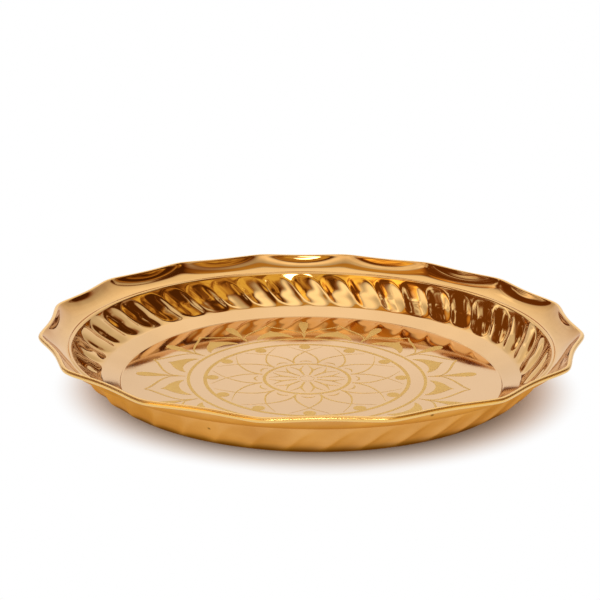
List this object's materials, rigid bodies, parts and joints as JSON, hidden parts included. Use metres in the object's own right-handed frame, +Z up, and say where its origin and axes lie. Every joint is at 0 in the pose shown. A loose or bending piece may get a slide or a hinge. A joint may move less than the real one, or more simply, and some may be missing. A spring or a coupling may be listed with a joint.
{
  "type": "thali plate",
  "caption": "Round pressed brass thali with a dished floor, a swirl-fluted wall, a beaded shoulder and a flared scalloped rim rolled over a wire.",
  "frame": {"origin": "centre of the flat patch that the plate rests on, at the surface it stands on", "axes": "+Z up out of the plate's open side, along its axis; X and Y lie in the resting plane, with the picture taken from -Y"},
  "size_m": [0.2966, 0.2966, 0.0373],
  "materials": {
    "polished_brass": "polished sheet, etched pattern on the floor",
    "brass_wire": "drawn wire"
  },
  "bodies": {
    "root": {"pressed_dish": "polished_brass", "rim_wire": "brass_wire"}
  },
  "joints": []
}
